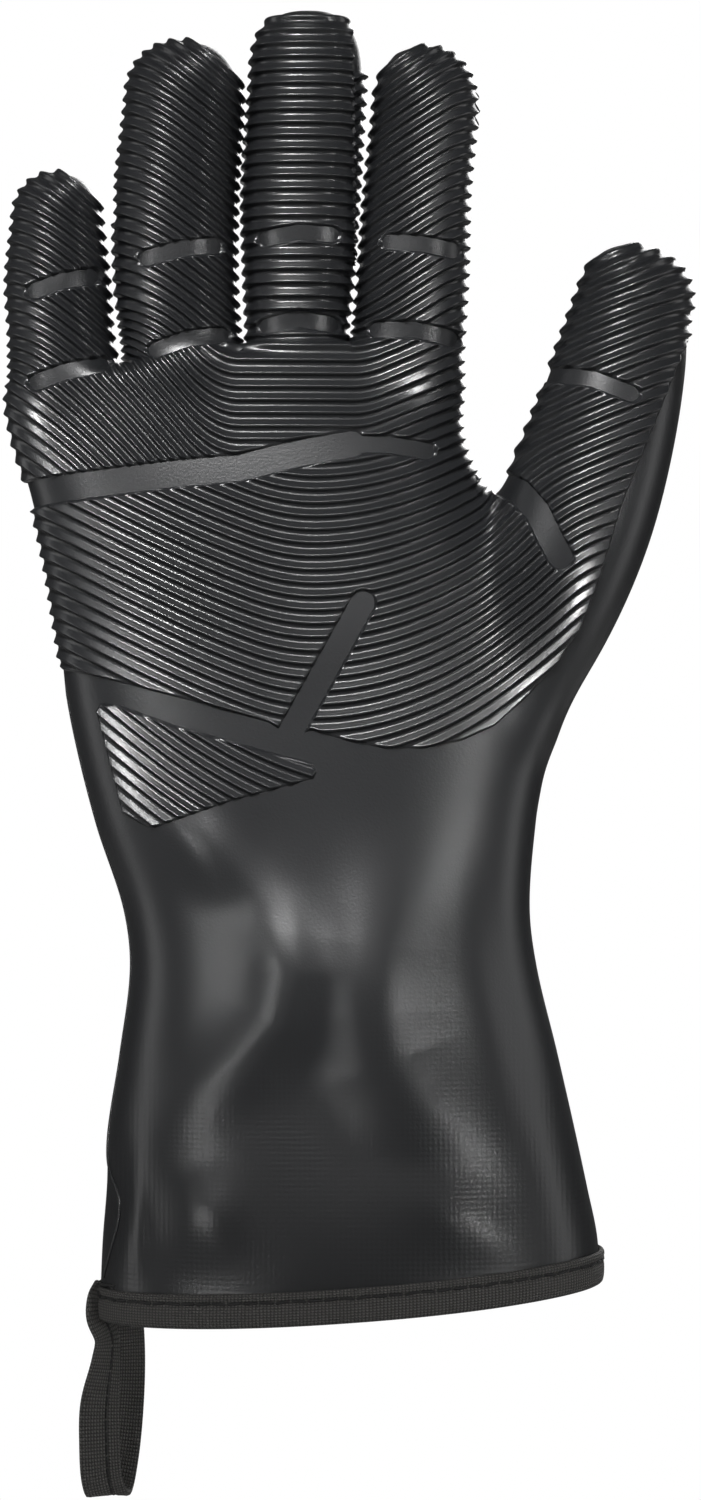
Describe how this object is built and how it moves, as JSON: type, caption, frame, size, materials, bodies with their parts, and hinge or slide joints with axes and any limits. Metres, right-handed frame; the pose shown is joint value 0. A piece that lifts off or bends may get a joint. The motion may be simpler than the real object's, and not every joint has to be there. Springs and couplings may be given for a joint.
{
  "type": "heat resistant glove",
  "caption": "Long heat resistant glove for a right hand, ribbed rubber palm over a knitted liner, flared cuff with bound hem and a hang loop.",
  "frame": {"origin": "centre of the glove's mouth, in the plane of its hem", "axes": "+Z along the middle finger, towards its tip; +X towards the thumb; the ribbed palm faces -Y"},
  "size_m": [0.185, 0.079, 0.4015],
  "materials": {
    "skin_rubber": "satin moulded rubber with a fine grain",
    "grip_rubber": "satin moulded rubber with narrow raised ribs",
    "fold_rubber": "smooth satin rubber at the fold lines",
    "knit_liner": "dark grey weft knit",
    "binding_tape": "black knitted binding tape",
    "sewing_thread": "black polyester thread"
  },
  "bodies": {
    "cuff": {"cuff_skin": "skin_rubber", "cuff_liner": "knit_liner", "wrist_flex": "fold_rubber", "hem_binding": "binding_tape", "hem_thread": "sewing_thread", "loop_anchor": "binding_tape", "loop_bartack": "sewing_thread"},
    "hand": {"hand_skin": "skin_rubber", "hand_liner": "knit_liner", "main_palm_grip": "grip_rubber", "thenar_grip": "grip_rubber", "heel_grip": "grip_rubber", "knuckle_flex": "fold_rubber", "thumb_root_flex": "fold_rubber"},
    "knuckles": {"knuckle_skin": "skin_rubber", "knuckle_liner": "knit_liner", "upper_palm_grip": "grip_rubber", "little_root_flex": "fold_rubber", "ring_root_flex": "fold_rubber", "middle_root_flex": "fold_rubber", "index_root_flex": "fold_rubber"},
    "hang_loop": {"hang_loop": "binding_tape"},
    "little_base": {"little_base_skin": "skin_rubber", "little_base_liner": "knit_liner", "little_base_grip": "grip_rubber", "little_mid_flex": "fold_rubber"},
    "little_tip": {"little_tip_skin": "skin_rubber", "little_tip_liner": "knit_liner", "little_tip_grip": "grip_rubber"},
    "ring_base": {"ring_base_skin": "skin_rubber", "ring_base_liner": "knit_liner", "ring_base_grip": "grip_rubber", "ring_mid_flex": "fold_rubber"},
    "ring_tip": {"ring_tip_skin": "skin_rubber", "ring_tip_liner": "knit_liner", "ring_tip_grip": "grip_rubber"},
    "middle_base": {"middle_base_skin": "skin_rubber", "middle_base_liner": "knit_liner", "middle_base_grip": "grip_rubber", "middle_mid_flex": "fold_rubber"},
    "middle_tip": {"middle_tip_skin": "skin_rubber", "middle_tip_liner": "knit_liner", "middle_tip_grip": "grip_rubber"},
    "index_base": {"index_base_skin": "skin_rubber", "index_base_liner": "knit_liner", "index_base_grip": "grip_rubber", "index_mid_flex": "fold_rubber"},
    "index_tip": {"index_tip_skin": "skin_rubber", "index_tip_liner": "knit_liner", "index_tip_grip": "grip_rubber"},
    "thumb_base": {"thumb_base_skin": "skin_rubber", "thumb_base_liner": "knit_liner", "thumb_base_grip": "grip_rubber", "thumb_mid_flex": "fold_rubber"},
    "thumb_tip": {"thumb_tip_skin": "skin_rubber", "thumb_tip_liner": "knit_liner", "thumb_tip_grip": "grip_rubber"}
  },
  "joints": [
    {"name": "wrist_bend", "type": "hinge", "parent": "cuff", "child": "hand", "pos_m": [-0.009, -0.004, 0.093], "axis": [1, 0, 0], "range_deg": [-25, 35], "stiffness_Nm_per_rad": 2.5, "deforming": ["wrist_flex"]},
    {"name": "knuckle_bend", "type": "hinge", "parent": "hand", "child": "knuckles", "pos_m": [-0.032, -0.0125, 0.2256], "axis": [0.993, 0, 0.1184], "range_deg": [-12, 45], "stiffness_Nm_per_rad": 0.9, "deforming": ["knuckle_flex"]},
    {"name": "little_lower_bend", "type": "hinge", "parent": "knuckles", "child": "little_base", "pos_m": [-0.0818, -0.004, 0.257], "axis": [1, 0, 0], "range_deg": [-8, 60], "stiffness_Nm_per_rad": 0.15, "deforming": ["little_root_flex"]},
    {"name": "little_upper_bend", "type": "hinge", "parent": "little_base", "child": "little_tip", "pos_m": [-0.0828, -0.004, 0.277], "axis": [1, 0, 0], "range_deg": [-5, 60], "stiffness_Nm_per_rad": 0.1, "deforming": ["little_mid_flex"]},
    {"name": "ring_lower_bend", "type": "hinge", "parent": "knuckles", "child": "ring_base", "pos_m": [-0.0503, -0.0055, 0.264], "axis": [1, 0, 0], "range_deg": [-8, 60], "stiffness_Nm_per_rad": 0.15, "deforming": ["ring_root_flex"]},
    {"name": "ring_upper_bend", "type": "hinge", "parent": "ring_base", "child": "ring_tip", "pos_m": [-0.0508, -0.006, 0.2852], "axis": [1, 0, 0], "range_deg": [-5, 60], "stiffness_Nm_per_rad": 0.1, "deforming": ["ring_mid_flex"]},
    {"name": "middle_lower_bend", "type": "hinge", "parent": "knuckles", "child": "middle_base", "pos_m": [-0.0184, -0.005, 0.266], "axis": [1, 0, 0], "range_deg": [-8, 60], "stiffness_Nm_per_rad": 0.15, "deforming": ["middle_root_flex"]},
    {"name": "middle_upper_bend", "type": "hinge", "parent": "middle_base", "child": "middle_tip", "pos_m": [-0.0174, -0.0055, 0.2894], "axis": [1, 0, 0], "range_deg": [-5, 60], "stiffness_Nm_per_rad": 0.1, "deforming": ["middle_mid_flex"]},
    {"name": "index_lower_bend", "type": "hinge", "parent": "knuckles", "child": "index_base", "pos_m": [0.0114, -0.005, 0.2655], "axis": [1, 0, 0], "range_deg": [-8, 60], "stiffness_Nm_per_rad": 0.15, "deforming": ["index_root_flex"]},
    {"name": "index_upper_bend", "type": "hinge", "parent": "index_base", "child": "index_tip", "pos_m": [0.0131, -0.0055, 0.2868], "axis": [1, 0, 0], "range_deg": [-5, 60], "stiffness_Nm_per_rad": 0.1, "deforming": ["index_mid_flex"]},
    {"name": "thumb_base_bend", "type": "hinge", "parent": "hand", "child": "thumb_base", "pos_m": [0.0445, -0.0085, 0.2145], "axis": [0.5446, 0, -0.8387], "range_deg": [-8, 35], "stiffness_Nm_per_rad": 0.5, "deforming": ["thumb_root_flex"]},
    {"name": "thumb_upper_bend", "type": "hinge", "parent": "thumb_base", "child": "thumb_tip", "pos_m": [0.0666, -0.009, 0.249], "axis": [0.9636, 0, -0.2672], "range_deg": [-5, 45], "stiffness_Nm_per_rad": 0.2, "deforming": ["thumb_mid_flex"]},
    {"name": "loop_swing", "type": "hinge", "parent": "cuff", "child": "hang_loop", "pos_m": [-0.068, 0, -0.0096], "axis": [1, 0, 0], "range_deg": [-60, 30]}
  ]
}
